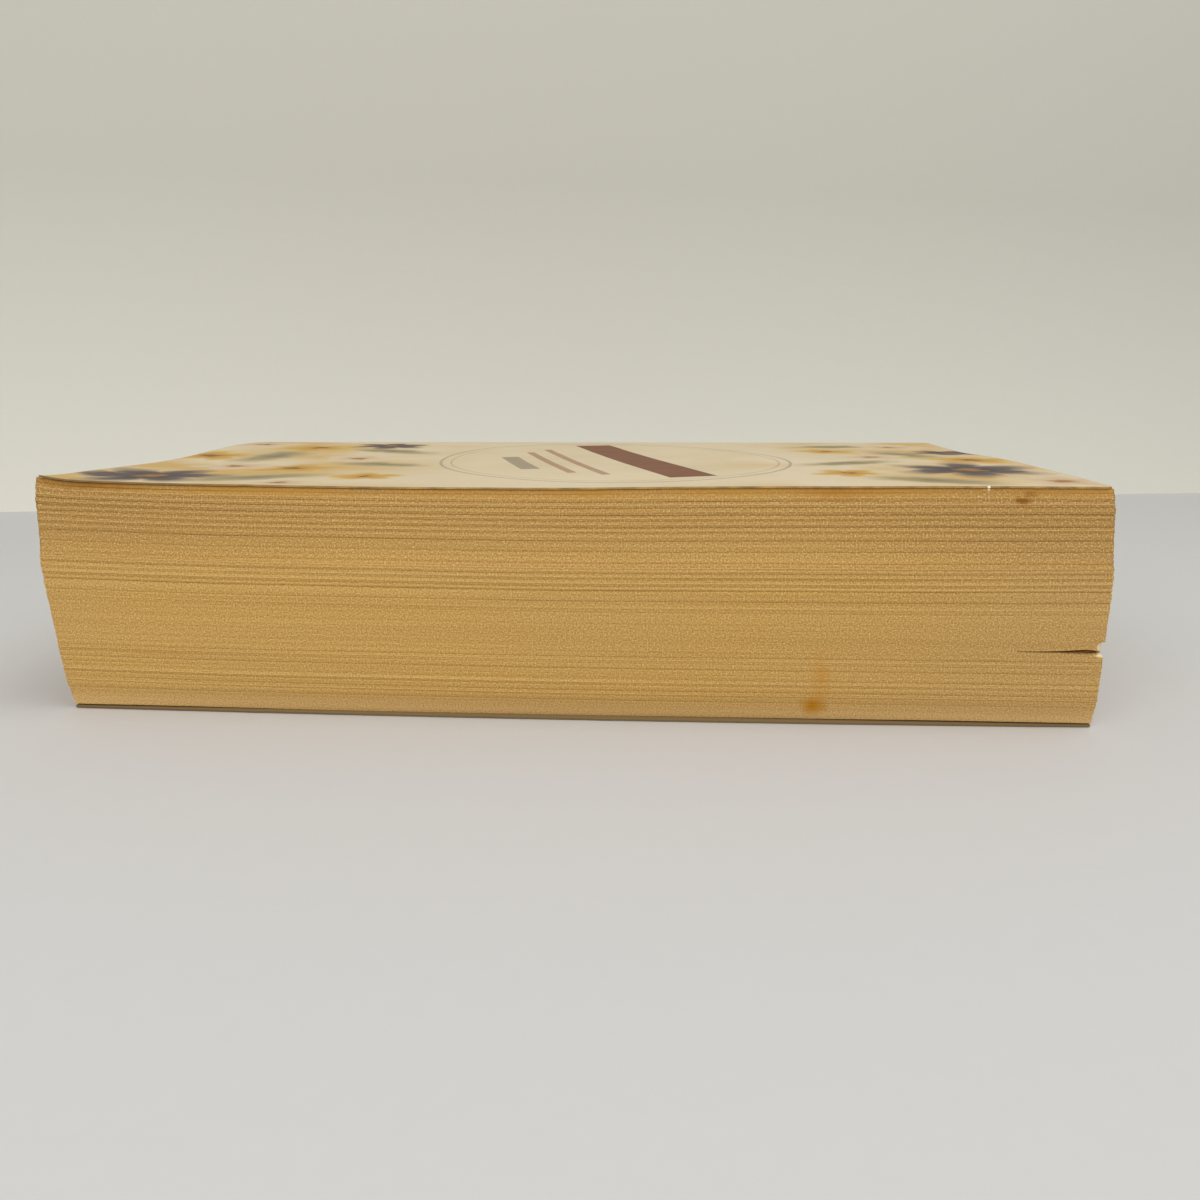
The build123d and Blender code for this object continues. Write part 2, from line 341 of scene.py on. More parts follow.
def paper_edges():
    """Cheap wood-pulp paper, cut to size as a block: hundreds of matt edges gone golden with age."""
    material, tree = start_material("aged_wood_pulp_paper_cut_edges")
    place = node(tree, "Attribute", attribute_name="flat_mm").outputs["Vector"]
    gap = node(tree, "Attribute", attribute_name="gap").outputs["Fac"]
    axes = node(tree, "SeparateXYZ", {0: place}).outputs
    from_middle = node(tree, "Math", {0: axes["X"]}, operation="ABSOLUTE")
    # a leaf is 0.09 mm, under a pixel, so the streaks are three or four leaves wide
    streak_place = node(tree, "Mapping", {"Vector": place, "Scale": (0.006, 0.006, 2.8)})
    streak = node(tree, "TexNoise", {"Vector": streak_place, "Scale": 1.0, "Detail": 3.0, "Roughness": 0.6})
    # piles 3 mm high that took the light unevenly, and broad clouds of 45 mm
    pile_place = node(tree, "Mapping", {"Vector": place, "Scale": (0.008, 0.008, 0.3)})
    pile = node(tree, "TexNoise", {"Vector": pile_place, "Scale": 1.0, "Detail": 2.0})
    cloud = node(tree, "TexNoise", {"Vector": place, "Scale": 0.022, "Detail": 1.0})
    # pulp fibres, drawn at 0.3 mm so that they show
    fibre = node(tree, "TexNoise", {"Vector": place, "Scale": 3.6, "Detail": 2.0, "Roughness": 0.7})
    # the first leaves under the cover took the most light and went orange-brown, in patches 20 mm long
    patch_place = node(tree, "Mapping", {"Vector": place, "Scale": (0.05, 0.05, 0.25)})
    patch = node(tree, "TexNoise", {"Vector": patch_place, "Scale": 1.0, "Detail": 3.0})
    colour = lay_colours(tree, "#C29A55", [
        ("#B08741", 1.0, (streak, 0.62, 0.36)),
        ("#C69F5B", 0.3, (pile, 0.42, 0.66)),
        ("#B69156", 0.45, (cloud, 0.4, 0.65)),
        # browner towards the head and the top; paler at the foot, painted light that lifts the shade there
        ("#AD8B57", 0.35, (axes["X"], 40, 87)),
        ("#A37C43", 0.8, (axes["Z"], 24, 38)),
        ("#DCB77C", 0.6, (axes["Z"], 5.0, 1.0)),
        ("#99743C", 0.6, (from_middle, 35, 75), (axes["Z"], 24, 36)),
        ("#8B622B", 0.85, (fibre, 0.5, 0.25)),
        ("#E6C589", 0.85, (fibre, 0.5, 0.75)),
        ("#AE8036", 0.8, (patch, 0.25, 0.6), (axes["Z"], leaves_top - 1.5, leaves_top - 0.5)),
        *stain_and_highlight_layers(tree, place, edge_stains_and_highlights),
        # painted shade darkens the gaps between bundles; the inside of the fold gets a bright orange, painted
        # light that lifts its shade; leaves that stand proud get a painted highlight
        ("#83602A", 0.36, (gap, 0, 1)),
        ("#F2A04A", 0.9, (gap, 1.2, fold_painted_light_level)),
        ("#DCB97A", 0.65, (gap, 0, -1)),
    ])
    bump = node(tree, "Bump", {"Height": streak, "Strength": 0.35, "Distance": 0.0001})
    return finish_material(material, {"Base Color": colour, "Roughness": 0.9, "Specular IOR Level": 0.2,
                                      "Normal": bump})


def paper_face():
    """The face of an outer leaf: matt, cream, browner towards its cut edges, with the flecks of cheap pulp."""
    material, tree = start_material("aged_wood_pulp_paper_leaf")
    place = node(tree, "Attribute", attribute_name="flat_mm").outputs["Vector"]
    axes = node(tree, "SeparateXYZ", {0: place}).outputs
    from_middle = node(tree, "Math", {0: axes["X"]}, operation="ABSOLUTE")
    past_end = node(tree, "Math", {0: from_middle, 1: half_height}, operation="SUBTRACT")
    past_fore = node(tree, "Math", {0: axes["Y"], 1: -1.0}, operation="MULTIPLY")
    past_edge = node(tree, "Math", {0: past_end, 1: past_fore}, operation="MAXIMUM")
    # the brown rim wanders by up to 14 mm, in waves of 17 mm
    wander = node(tree, "TexNoise", {"Vector": place, "Scale": 0.06, "Detail": 3.0})
    rim = node(tree, "Math", {0: wander, 1: 14.0, 2: past_edge}, operation="MULTIPLY_ADD")
    # fibres of 1 mm, and a fleck each 2 mm
    fibre = node(tree, "TexNoise", {"Vector": place, "Scale": 1.1, "Detail": 4.0})
    fleck = node(tree, "TexVoronoi", {"Vector": place, "Scale": 0.45})
    colour = lay_colours(tree, "#D9C7A2", [
        ("#C4A46C", 0.7, (rim, 0, 9)),
        ("#CDB384", 0.35, (fibre, 0.45, 0.75)),
        ("#9C7A4B", 0.5, (fleck, 0.07, 0.03)),
    ])
    return finish_material(material, {"Base Color": colour, "Roughness": 0.9, "Specular IOR Level": 0.2})


# The print, as X, Y, turn and reach on the front cover. The flowers also have their petals and their tints:
# eye, inside and rim.
leaf_tints = "#877752", "#93855E", "#AE9F76"
plum = "#96692C", "#403330", "#74635A"
gold = "#7A5022", "#BC8A30", "#D3B468"
cream = "#9A6838", "#C9AC86", "#D9C8A6"
leaf_prints = ((-57, 16, 0.6, 16), (-42, 46, -0.3, 13), (-70, 62, 1.3, 17), (-46, 74, 2.7, 14),
               (62, 9, 2.6, 14), (54, 42, 0.4, 13), (71, 66, 1.8, 17), (60, 93, 0.2, 14))
flower_prints = (
    (-57, 36, 0.2, 13, 5, gold), (-70, 40, 0.9, 11, 5, cream), (-38, 20, 0.5, 9, 5, gold),
    (-50, 58, 0.1, 9, 5, cream), (-84, 60, 0.4, 12, 5, gold), (-66, 80, 0.8, 12, 5, gold),
    (-82, 88, 0.3, 12, 5, cream), (-49, 7, 0.7, 8, 5, cream), (-76, 16, 0.2, 16, 6, plum),
    (-50, 88, 0.5, 11, 6, plum), (62, 58, 0.6, 11, 5, cream), (83, 8, 0.3, 12, 5, cream),
    (50, 22, 0.9, 8, 5, gold), (80, 48, 0.2, 13, 5, gold), (56, 78, 0.5, 10, 5, gold),
    (74, 92, 0.1, 11, 5, cream), (73, 27, 0.4, 16, 6, plum), (84, 74, 0.1, 12, 6, plum))
# Two thin ovals with slanted bars in them. A bar has its shift along X, half its width, half its length, its
# tint and its strength.
oval_x, oval_y, oval_turn = 6, 54, 0.278
oval_reach_x, oval_reach_y = 36, 46
bar_prints = ((5, 4.4, 40, "#70380E", 0.95), (-8, 0.9, 30, "#946548", 0.7), (-13, 0.9, 24, "#946548", 0.7),
              (-19, 1.9, 14, "#7C6F5C", 0.7))
bar_rise = 1 / 3.5  # a bar shifts so far along Y for each step along X
board_stains = (
    # the curled corner is rubbed brown
    ((-87.3, 0.2, book_thickness), (3.4, 2.4, 9), 0.5, 0.6, 0.9, "#C7A258"),
    # chips in the varnish
    ((65.9, 0.0, book_thickness), (0.25, 0.25, 9), 0.4, 0.3, 0.95, "#F6EAD2"),
    ((67.95, 0.0, book_thickness), (0.35, 0.35, 9), 0.4, 0.3, 0.95, "#F6EAD2"),
    ((69.6, 0.0, book_thickness), (0.2, 0.2, 9), 0.4, 0.3, 0.95, "#F6EAD2"),
)


def shape_lie(x, y, turn, reach_x, reach_y):
    """How a printed shape lies: its own places are 0 in its middle and 1 at its rims, at any height."""
    return {"Location": (x, y, 0), "Rotation": (0, 0, turn), "Scale": (reach_x, reach_y, 1e6)}


def ink_shape(tree, ground, out, tints, soft):
    """Prints a shape on the ground, shaded from its eye to its rim, where out is 1."""
    eye, inside, rim = tints
    shaded = node(tree, "ValToRGB", {"Fac": out})
    stops = shaded.color_ramp.elements
    stops[0].position, stops[0].color = 0.1, linear(eye)
    stops[1].position, stops[1].color = 0.95, linear(rim)
    stops.new(0.26).color = linear(inside)
    return lay_colours(tree, ground, [(shaded, 1.0, (out, 1.0, 1.0 - soft))])


def ink_leaves(tree, ground, brushed):
    for x, y, turn, reach in leaf_prints:
        lie = shape_lie(x, y, turn, reach, reach * 0.38)
        own_place = node(tree, "Mapping", {"Vector": brushed, **lie}, vector_type="TEXTURE")
        out = node(tree, "VectorMath", {0: own_place}, operation="LENGTH")
        ground = ink_shape(tree, ground, out, leaf_tints, 0.5)
    return ground


def ink_flowers(tree, ground, brushed):
    for x, y, turn, reach, petals, tints in flower_prints:
        lie = shape_lie(x, y, turn, reach, reach)
        own_place = node(tree, "Mapping", {"Vector": brushed, **lie}, vector_type="TEXTURE")
        axes = node(tree, "SeparateXYZ", {0: own_place}).outputs
        angle = node(tree, "Math", {0: axes["Y"], 1: axes["X"]}, operation="ARCTAN2")
        wave = node(tree, "Math", {0: angle, 1: petals / 2}, operation="MULTIPLY")
        wave = node(tree, "Math", {0: wave}, operation="COSINE")
        petal = node(tree, "Math", {0: wave}, operation="ABSOLUTE")
        rim = node(tree, "Math", {0: petal, 1: 0.4, 2: 0.6}, operation="MULTIPLY_ADD")
        out = node(tree, "VectorMath", {0: own_place}, operation="LENGTH")
        out = node(tree, "Math", {0: out, 1: rim}, operation="DIVIDE")
        ground = ink_shape(tree, ground, out, tints, 0.4)
    return ground


def ink_ovals_and_bars(tree, ground, place):
    lie = shape_lie(oval_x, oval_y, oval_turn, oval_reach_x, oval_reach_y)
    own_place = node(tree, "Mapping", {"Vector": place, **lie}, vector_type="TEXTURE")
    out = node(tree, "VectorMath", {0: own_place}, operation="LENGTH")
    outer = node(tree, "Math", {0: out, 1: 1.0, 2: 0.009}, operation="COMPARE")
    inner = node(tree, "Math", {0: out, 1: 0.94, 2: 0.004}, operation="COMPARE")
    layers = [("#8F8270", 0.6, (node(tree, "Math", {0: outer, 1: inner}, operation="MAXIMUM"), 0, 1))]
    for shift, half_width, half_length, tint, strength in bar_prints:
        lie = shape_lie(oval_x + shift, oval_y + shift * bar_rise, oval_turn, half_width, half_length)
        own_place = node(tree, "Mapping", {"Vector": place, **lie}, vector_type="TEXTURE")
        axes = node(tree, "SeparateXYZ", {0: own_place}).outputs
        within_x = node(tree, "Math", {0: axes["X"], 1: 0.0, 2: 1.0}, operation="COMPARE")
        within_y = node(tree, "Math", {0: axes["Y"], 1: 0.0, 2: 1.0}, operation="COMPARE")
        layers.append((tint, strength, (within_x, 0, 1), (within_y, 0, 1)))
    return lay_colours(tree, ground, layers)


def printed_board():
    """Cover board, offset printed and varnished: smooth, with a low gloss, worn pale along its edges."""
    material, tree = start_material("printed_varnished_cover_board")
    place = node(tree, "Attribute", attribute_name="flat_mm").outputs["Vector"]
    axes = node(tree, "SeparateXYZ", {0: place}).outputs
    from_middle = node(tree, "Math", {0: axes["X"]}, operation="ABSOLUTE")
    # a cream ground with clouds of 30 mm
    wash = node(tree, "TexNoise", {"Vector": place, "Scale": 0.035, "Detail": 3.0})
    ground = lay_colours(tree, "#D9C8A8", [("#CFBD98", 1.0, (wash, 0.3, 0.7))])
    # the shapes' rims wander by 2.5 mm as if brushed, in waves of 4.5 mm
    wander = node(tree, "TexNoise", {"Vector": place, "Scale": 0.22, "Detail": 3.0}).outputs["Color"]
    wander = node(tree, "VectorMath", {0: wander, 1: (0.5, 0.5, 0.5)}, operation="SUBTRACT")
    brushed = node(tree, "VectorMath", {0: wander, 1: (5.0, 5.0, 0), 2: place}, operation="MULTIPLY_ADD")
    # soft amber washes towards head and tail
    amber = node(tree, "TexNoise", {"Vector": place, "Scale": 0.03, "Detail": 2.0})
    art = lay_colours(tree, ground, [("#C79F50", 0.85, (amber, 0.4, 0.6), (from_middle, 22, 50))])
    art = ink_leaves(tree, art, brushed)
    art = ink_flowers(tree, art, brushed)
    art = ink_ovals_and_bars(tree, art, place)
    on_front = node(tree, "Math", {0: axes["Y"], 1: cover_width - 1}, operation="LESS_THAN")
    # rubbed edges show the pale board, in a line that wanders by up to 1.6 mm
    rub = node(tree, "TexNoise", {"Vector": place, "Scale": 0.8, "Detail": 4.0, "Roughness": 0.7})
    from_back_edge = node(tree, "Math", {0: wrap_width, 1: axes["Y"]}, operation="SUBTRACT")
    from_edge = node(tree, "Math", {0: axes["Y"], 1: from_back_edge}, operation="MINIMUM")
    from_end = node(tree, "Math", {0: half_height, 1: from_middle}, operation="SUBTRACT")
    from_edge = node(tree, "Math", {0: from_edge, 1: from_end}, operation="MINIMUM")
    worn = node(tree, "Math", {0: rub, 1: -1.6, 2: from_edge}, operation="MULTIPLY_ADD")
    colour = lay_colours(tree, ground, [
        (art, 1.0, (on_front, 0, 1)),
        ("#C9AE7A", 0.75, (worn, -0.3, -0.75)),
        *stain_and_highlight_layers(tree, place, board_stains),
    ])
    # handling has dulled the varnish in smears of 8 mm
    smear = node(tree, "TexNoise", {"Vector": place, "Scale": 0.12, "Detail": 4.0})
    dullness = node(tree, "MapRange", {"Value": smear, "To Min": 0.48, "To Max": 0.66})
    bump = node(tree, "Bump", {"Height": smear, "Strength": 0.25, "Distance": 0.0004})
    return finish_material(material, {"Base Color": colour, "Roughness": dullness, "Specular IOR Level": 0.35,
                                      "Normal": bump})


def plain_board():
    """The unprinted inside of the cover board: uncoated, matt, yellowed."""
    material, tree = start_material("uncoated_cover_board")
    place = node(tree, "Attribute", attribute_name="flat_mm").outputs["Vector"]
    depth = node(tree, "SeparateXYZ", {0: place}).outputs["Y"]
    fibre = node(tree, "TexNoise", {"Vector": place, "Scale": 0.7, "Detail": 4.0})
    colour = lay_colours(tree, "#E3D9C0", [
        ("#D5C6A2", 1.0, (fibre, 0, 1)),
        # painted shade on the strip of the back cover that stands in front of the leaves, under their overhang
        ("#836E48", 1.0, (depth, wrap_width - 3.5, wrap_width - 1.5)),
    ])
    return finish_material(material, {"Base Color": colour, "Roughness": 0.85})


def cut_board():
    """The cut edge of the board: bare pulp, grey-brown with handling."""
    material, tree = start_material("cut_edge_of_cover_board")
    place = node(tree, "Attribute", attribute_name="flat_mm").outputs["Vector"]
    axes = node(tree, "SeparateXYZ", {0: place}).outputs
    dirt = node(tree, "TexNoise", {"Vector": place, "Scale": 0.35, "Detail": 4.0})
    chip = ((67.95, 0.0, book_thickness), (0.28, 1.0, 1.0), 0.4, 0.3, 0.9, "#F2E4C8")
    colour = lay_colours(tree, "#7F6238", [
        ("#A98447", 1.0, (dirt, 0.35, 0.65)),
        # greyer and darker on the back cover, in part painted shade under the leaves that overhang it; browner
        # towards the tail
        ("#75623C", 1.0, (axes["Z"], 2.0, 1.0)),
        ("#6E542C", 0.8, (axes["X"], -30.0, -80.0)),
        *stain_and_highlight_layers(tree, place, [chip]),
    ])
    return finish_material(material, {"Base Color": colour, "Roughness": 0.85})


def hot_melt():
    """Set hot-melt glue: waxy and yellowed."""
    material, tree = start_material("set_hot_melt_glue")
    place = node(tree, "Attribute", attribute_name="flat_mm").outputs["Vector"]
    cloud = node(tree, "TexNoise", {"Vector": place, "Scale": 0.4, "Detail": 2.0})
    colour = lay_colours(tree, "#D8C391", [("#B99B5E", 1.0, (cloud, 0, 1))])
    return finish_material(material, {"Base Color": colour, "Roughness": 0.45})


# Pages
edge_slices = (0.3, 0.7, 1.2, 2.0, 3.2, 5.0, 7.2, 9.4)  # closer together near the edges of the leaves
long_cuts = 69  # between the last slices, so that a leaf can follow its line
row_spacing = 0.3


def page_rows():
    """Heights at which the block is cut through: three at each gap, and more between them."""
    rows = [ledge_z - ledge_lip, ledge_z + ledge_lip, fold_z - fold_lip, fold_z, fold_z + fold_lip,
            worn_low, worn_low + 0.1, worn_high - 0.1, worn_high]
    for z, _, _ in gaps:
        rows += [z - gap_lip, z, z + gap_lip]
    for z, _, _ in proud_leaves:
        rows += [z - proud_lip, z, z + proud_lip]
    marks = sorted(rows + [leaves_bottom, leaves_top])
    for low, high in zip(marks, marks[1:]):
        parts = max(1, round((high - low) / row_spacing))
        rows += [low + (high - low) * i / parts for i in range(1, parts)]
    return sorted(rows)


def cut_page_block():
    block = start_box("page_block", (-half_height, 0, leaves_bottom), (half_height, leaf_width, leaves_top))
    slice_at(2, page_rows())
    slice_at(1, edge_slices + tuple(range(13, 107, 9)))
    slice_at(0, from_both_ends(edge_slices))
    slice_at(0, [half_height - 11.5, half_height - fold_length])
    select(block, "EDGE", lambda e: runs_along(0, e) and (e.verts[1].co - e.verts[0].co).length > 20)
    bpy.ops.mesh.subdivide(number_cuts=long_cuts)
    return block


def bundle_pushes(flat):
    """How far points are pushed in, at the fore-edge and at the ends, and the level of painted shade in the gap
    that they are in, or of painted highlight on a proud leaf. Each bundle bulges a little, and stands in or out
    of its neighbours."""
    x, y, z = flat.T
    toward_head = x / leaf_height + 0.5
    heights = np.array([leaves_bottom] + [height for height, _, _ in gaps] + [leaves_top])
    at_tail = np.array([3] + [tail for _, tail, _ in gaps] + [6], float)
    at_head = np.array([3] + [head for _, _, head in gaps] + [6], float)
    number = np.clip(np.searchsorted(heights, z - same) - 1, 0, len(heights) - 2)
    run = heights[number + 1] - heights[number]
    up = (z - heights[number]) / run
    strength = ((at_tail[number] + at_tail[number + 1]) * (1 - toward_head)
                + (at_head[number] + at_head[number + 1]) * toward_head) / 2
    bulge = 0.005 * strength * np.minimum(1, 1.3 / run) * (1 - (2 * up - 1) ** 2)
    spread = random.Random(4)
    steps = np.array([spread.uniform(-0.035, 0.035) for _ in heights])[number]
    end_steps = np.array([spread.uniform(0, 0.1) for _ in heights])[number]
    rows = np.round(z, 3)
    row_steps = {row: spread.uniform(-0.012, 0.012) for row in sorted(set(rows))}
    fine = np.array([row_steps[row] for row in rows])
    waver = 0.05 * drift(x * 0.02, y * 0, z * 0.4) + 0.02 * drift(x * 0.15, y * 0, z * 1.5)
    end_waver = 0.1 * drift(x * 0, y * 0.04, z * 0.5)
    push = steps - bulge + fine + waver
    end_push = end_steps - bulge + fine + end_waver
    # levels of painted shade in the gaps (above 0) and of painted highlight on proud leaves (below 0)
    gap = np.zeros(len(z))
    for index, (height, tail, head) in enumerate(gaps):
        on = abs(z - height) < same
        uneven = 1 + 0.6 * drift(x[on] * 0.05, y[on] * 0.08, x[on] * 0 + index * 3.7)
        plain = (tail + (head - tail) * toward_head[on]) * uneven
        gap[on] = np.clip(plain / plainest_gap, 0, 1)
        push[on] += plain * gap_depth
        end_push[on] += plain * gap_depth
    for height, tail, head in proud_leaves:
        on = abs(z - height) < same
        gap[on] = -(tail + (head - tail) * toward_head[on])
        push[on] += proud_depth * gap[on]
    push += np.where(z > ledge_z, ledge_depth, 0)
    return push, end_push, gap


def loosen_outer_leaves(flat, moved):
    """Lifts the lowest leaves from the back cover along the fore-edge, and the top ones to the front cover."""
    x, y, z = flat.T
    from_edge = np.minimum(y, half_height - abs(x))
    low_down = np.clip(1 - (z - leaves_bottom) / foot_lift_depth, 0, 1)
    moved[:, 2] += through(foot_lift_line, x) * low_down * np.exp(-from_edge / foot_lift_depth)
    high_up = np.clip((z - leaves_top + top_lift_depth) / top_lift_depth, 0, 1)
    moved[:, 2] += top_lift * high_up * np.clip((score_y - 3 - y) / 6, 0, 1)


def open_fold(flat, moved, front, head_end):
    """Stands the leaves apart along a crease across the corner. Gives the points inside the opening."""
    x, y, z = flat.T
    on = abs(z - fold_z) < same
    corner = front & head_end
    along_fore = np.where(front, (x - (half_height - fold_length)) / fold_length, -1)
    along_head = np.where(head_end, 1 - y / fold_depth, -1)
    open_front = on & front & (along_fore > 0) & ~corner
    open_head = on & head_end & (along_head > 0) & ~corner
    open_corner = on & corner
    moved[open_front, 1] = np.minimum(fold_depth * along_fore[open_front], deepest_front)
    moved[open_head, 0] = half_height - np.minimum(fold_length * along_head[open_head], deepest_head)
    moved[open_corner, 0] = half_height - deepest_head
    moved[open_corner, 1] = deepest_corner
    apart = np.maximum(np.where(front, through(fold_opening, x), 0),
                       np.where(head_end, np.clip(along_head, 0, 1) * head_opening, 0))
    for row, lift in ((fold_z + fold_lip, upper_lip_rise), (fold_z - fold_lip, -lower_lip_drop)):
        lip = abs(z - row) < same
        moved[lip, 2] += lift * apart[lip]
    # the leaves above the upper lip rise with it, less and less
    above = np.clip(1 - abs(z - fold_z - 0.9) / 0.8, 0, 1) * (z > fold_z + 0.1)
    moved[:, 2] += 0.24 * apart * above
    return open_front | open_head | open_corner


def wear_corner(flat, moved, front, head_end):
    """Wears the head corner off above and below the fold."""
    x, y, z = flat.T
    reach = worn_reach * (1 + 0.25 * drift(z * 3.1, z * 0, x * 0))
    short = reach - (half_height - x) - y
    between = (z > worn_low + 0.02) & (z < worn_high - 0.02) & (abs(z - fold_z) >= same)
    worn = between & (front | head_end) & (short > 0)
    moved[worn, 0] -= short[worn] / 2 + 0.12
    moved[worn, 1] += short[worn] / 2


def make_pages():
    block = cut_page_block()
    flat = flat_points(block)
    x, y, z = flat.T
    front = y < same
    ends = abs(abs(x) - half_height) < same
    head_end = ends & (x > 0)
    push, end_push, gap = bundle_pushes(flat)
    moved = flat.copy()
    moved[front, 1] += push[front]
    moved[ends, 0] -= np.sign(x[ends]) * end_push[ends]
    loosen_outer_leaves(flat, moved)
    gap[open_fold(flat, moved, front, head_end)] = fold_painted_light_level
    wear_corner(flat, moved, front, head_end)
    lay(block, moved, flat)
    # the levels of painted shade, painted light and painted highlight that the edge colour follows
    shade = block.data.attributes.new("gap", "FLOAT", "POINT")
    shade.data.foreach_set("value", gap.astype(np.float32))
    block.data.materials.append(paper_edges())
    block.data.materials.append(paper_face())
    for face in block.data.polygons:
        face_heights = z[list(face.vertices)]
        if face_heights.min() > leaves_top - same or face_heights.max() < leaves_bottom + same:
            face.material_index = 1
    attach(block, "book_block")
    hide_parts("pages")


# Covers
boards = (printed_board(), plain_board(), cut_board())
PRINTED, PLAIN, CUT = 0, 1, 2
score_slices = (98.0, 99.4, 100.0, 100.4, 100.8, 101.2, 101.6, 102.0, 102.4, 103.0, 104.5, 106.0)
board_edge_slices = (0.4, 1.2, 2.5)
upright_slices = [2.0 * i for i in range(1, 20)]
edge_zone = 1.3  # the outermost rows of faces lie within this depth


def round_corners(obj, radius):
    """Rounds the two corners of the fore-edge."""
    select(obj, "EDGE", lambda e: runs_along(2, e) and e.verts[0].co.y < same
           and abs(e.verts[0].co.x) > half_height - 1)
    bpy.ops.mesh.bevel(offset=radius, segments=6, affect="EDGES")


def cut_card(obj):
    """Cuts the card finely enough to settle, and more finely at its edges and its score line."""
    slice_at(1, board_edge_slices + tuple(range(5, 97, 4)) + score_slices)
    slice_at(0, from_both_ends(board_edge_slices))
    slice_at(0, [2.5 * i for i in range(-33, 34)])


def worn_outline(flat):
    """The card's outline with the waver that cutting and handling have left."""
    x, y, z = flat.T
    moved = flat.copy()
    front = y < edge_zone
    waver = 0.06 * drift(x * 0.3, y * 0, x * 0) + 0.05 * drift(x * 1.7, y * 0, x * 0 + 5)
    moved[front, 1] += waver[front]
    end_waver = 0.05 + 0.06 * drift(x * 0, y * 0.3, x * 0)
    moved[:, 0] -= np.sign(x) * np.where(abs(x) > half_height - 0.1, end_waver, 0)
    return moved


def make_front_card():
    """Front panel, bent over the spine edge, down the spine and round to the foot."""
    obj = start_box("front_card", (-half_height, 0, book_thickness - card), (half_height, turn_y, book_thickness))
    round_corners(obj, front_corner_radius)
    select(obj, "FACE", lambda f: f.normal.y > 0.9 and f.calc_center_median().y > turn_y - 0.01)
    quarter = math.radians(90)
    bpy.ops.mesh.spin(steps=5, angle=quarter, center=(0, turn_y, book_thickness - spine_radius), axis=(1, 0, 0))
    down_spine = (0, 0, 2 * spine_radius - book_thickness)
    bpy.ops.mesh.extrude_region_move(TRANSFORM_OT_translate={"value": down_spine})
    bpy.ops.mesh.spin(steps=5, angle=quarter, center=(0, turn_y, spine_radius), axis=(1, 0, 0))
    cut_card(obj)
    slice_at(2, upright_slices)
    flat = flat_points(obj)
    # the print runs on round the spine edge and down the spine
    pattern_place = flat.copy()
    down = np.clip(book_thickness - flat[:, 2], 0, None)
    pattern_place[:, 1] = np.where(flat[:, 1] > turn_y + same, turn_y + 0.35 + down, flat[:, 1])
    for board in boards:
        obj.data.materials.append(board)
    for face in obj.data.polygons:
        middle, normal = face.center, face.normal
        bend_z = min(max(middle.z, spine_radius), book_thickness - spine_radius)
        round_bend = middle.y > turn_y - same
        outward = Vector((0, middle.y - turn_y, middle.z - bend_z)) if round_bend else Vector((0, 0, 1))
        if abs(normal.x) > 0.5 or (middle.y < edge_zone and abs(normal.z) < 0.5):
            face.material_index = CUT
        else:
            face.material_index = PRINTED if normal.dot(outward) > 0 else PLAIN
    lay(obj, worn_outline(flat), pattern_place)
    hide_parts("front_cover", "spine_cover")
    return obj


def make_back_card():
    """Back panel, flat on the table, its fore-edge a little in front of the leaves."""
    obj = start_box("back_card", (-half_height, 0, 0), (half_height, turn_y, card))
    round_corners(obj, back_corner_radius)
    cut_card(obj)
    flat = flat_points(obj)
    moved = worn_outline(flat)
    # it stands furthest forward in the middle, and its front edge has lifted a hair's breadth
    margin = 0.5 + 1.35 * (1 - (flat[:, 0] / half_height) ** 2)
    moved[:, 1] -= margin * np.clip(1 - flat[:, 1] / score_y, 0, 1)
    moved[:, 2] += 0.12 * np.clip(1 - flat[:, 1] / 15, 0, 1) ** 2
    for board in boards:
        obj.data.materials.append(board)
    for face in obj.data.polygons:
        face.material_index = PRINTED if face.normal.z < -0.5 else PLAIN if face.normal.z > 0.5 else CUT
    pattern_place = flat.copy()
    pattern_place[:, 1] = wrap_width - flat[:, 1]
    lay(obj, moved, pattern_place)
    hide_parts("back_cover")
    return obj


def hinge_card(obj):
    """Bakes the card's placement into its mesh."""
    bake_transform(obj)


def make_glue():
    """The glue layer behind the leaves, with a thin strip on the first leaf and on the last."""
    obj = start_box("spine_glue_layer", (-half_height + 0.1, leaf_width, card),
                    (half_height - 0.1, leaf_width + glue, book_thickness - card))
    slice_at(2, (card + side_glue, leaves_top))
    select(obj, "FACE", lambda f: f.normal.y < -0.9
           and not card + side_glue < f.calc_center_median().z < leaves_top)
    bpy.ops.mesh.extrude_region_move(TRANSFORM_OT_translate={"value": (0, -side_glue_reach, 0)})
    slice_at(0, [12.5 * i for i in range(-6, 7)])
    slice_at(2, upright_slices)
    flat = flat_points(obj)
    obj.data.materials.append(hot_melt())
    lay(obj, flat, flat)
    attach(obj, "book_block")
    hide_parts("spine_glue")


make_pages()
front_card = make_front_card()
back_card = make_back_card()
hinge_card(front_card)
hinge_card(back_card)
make_glue()


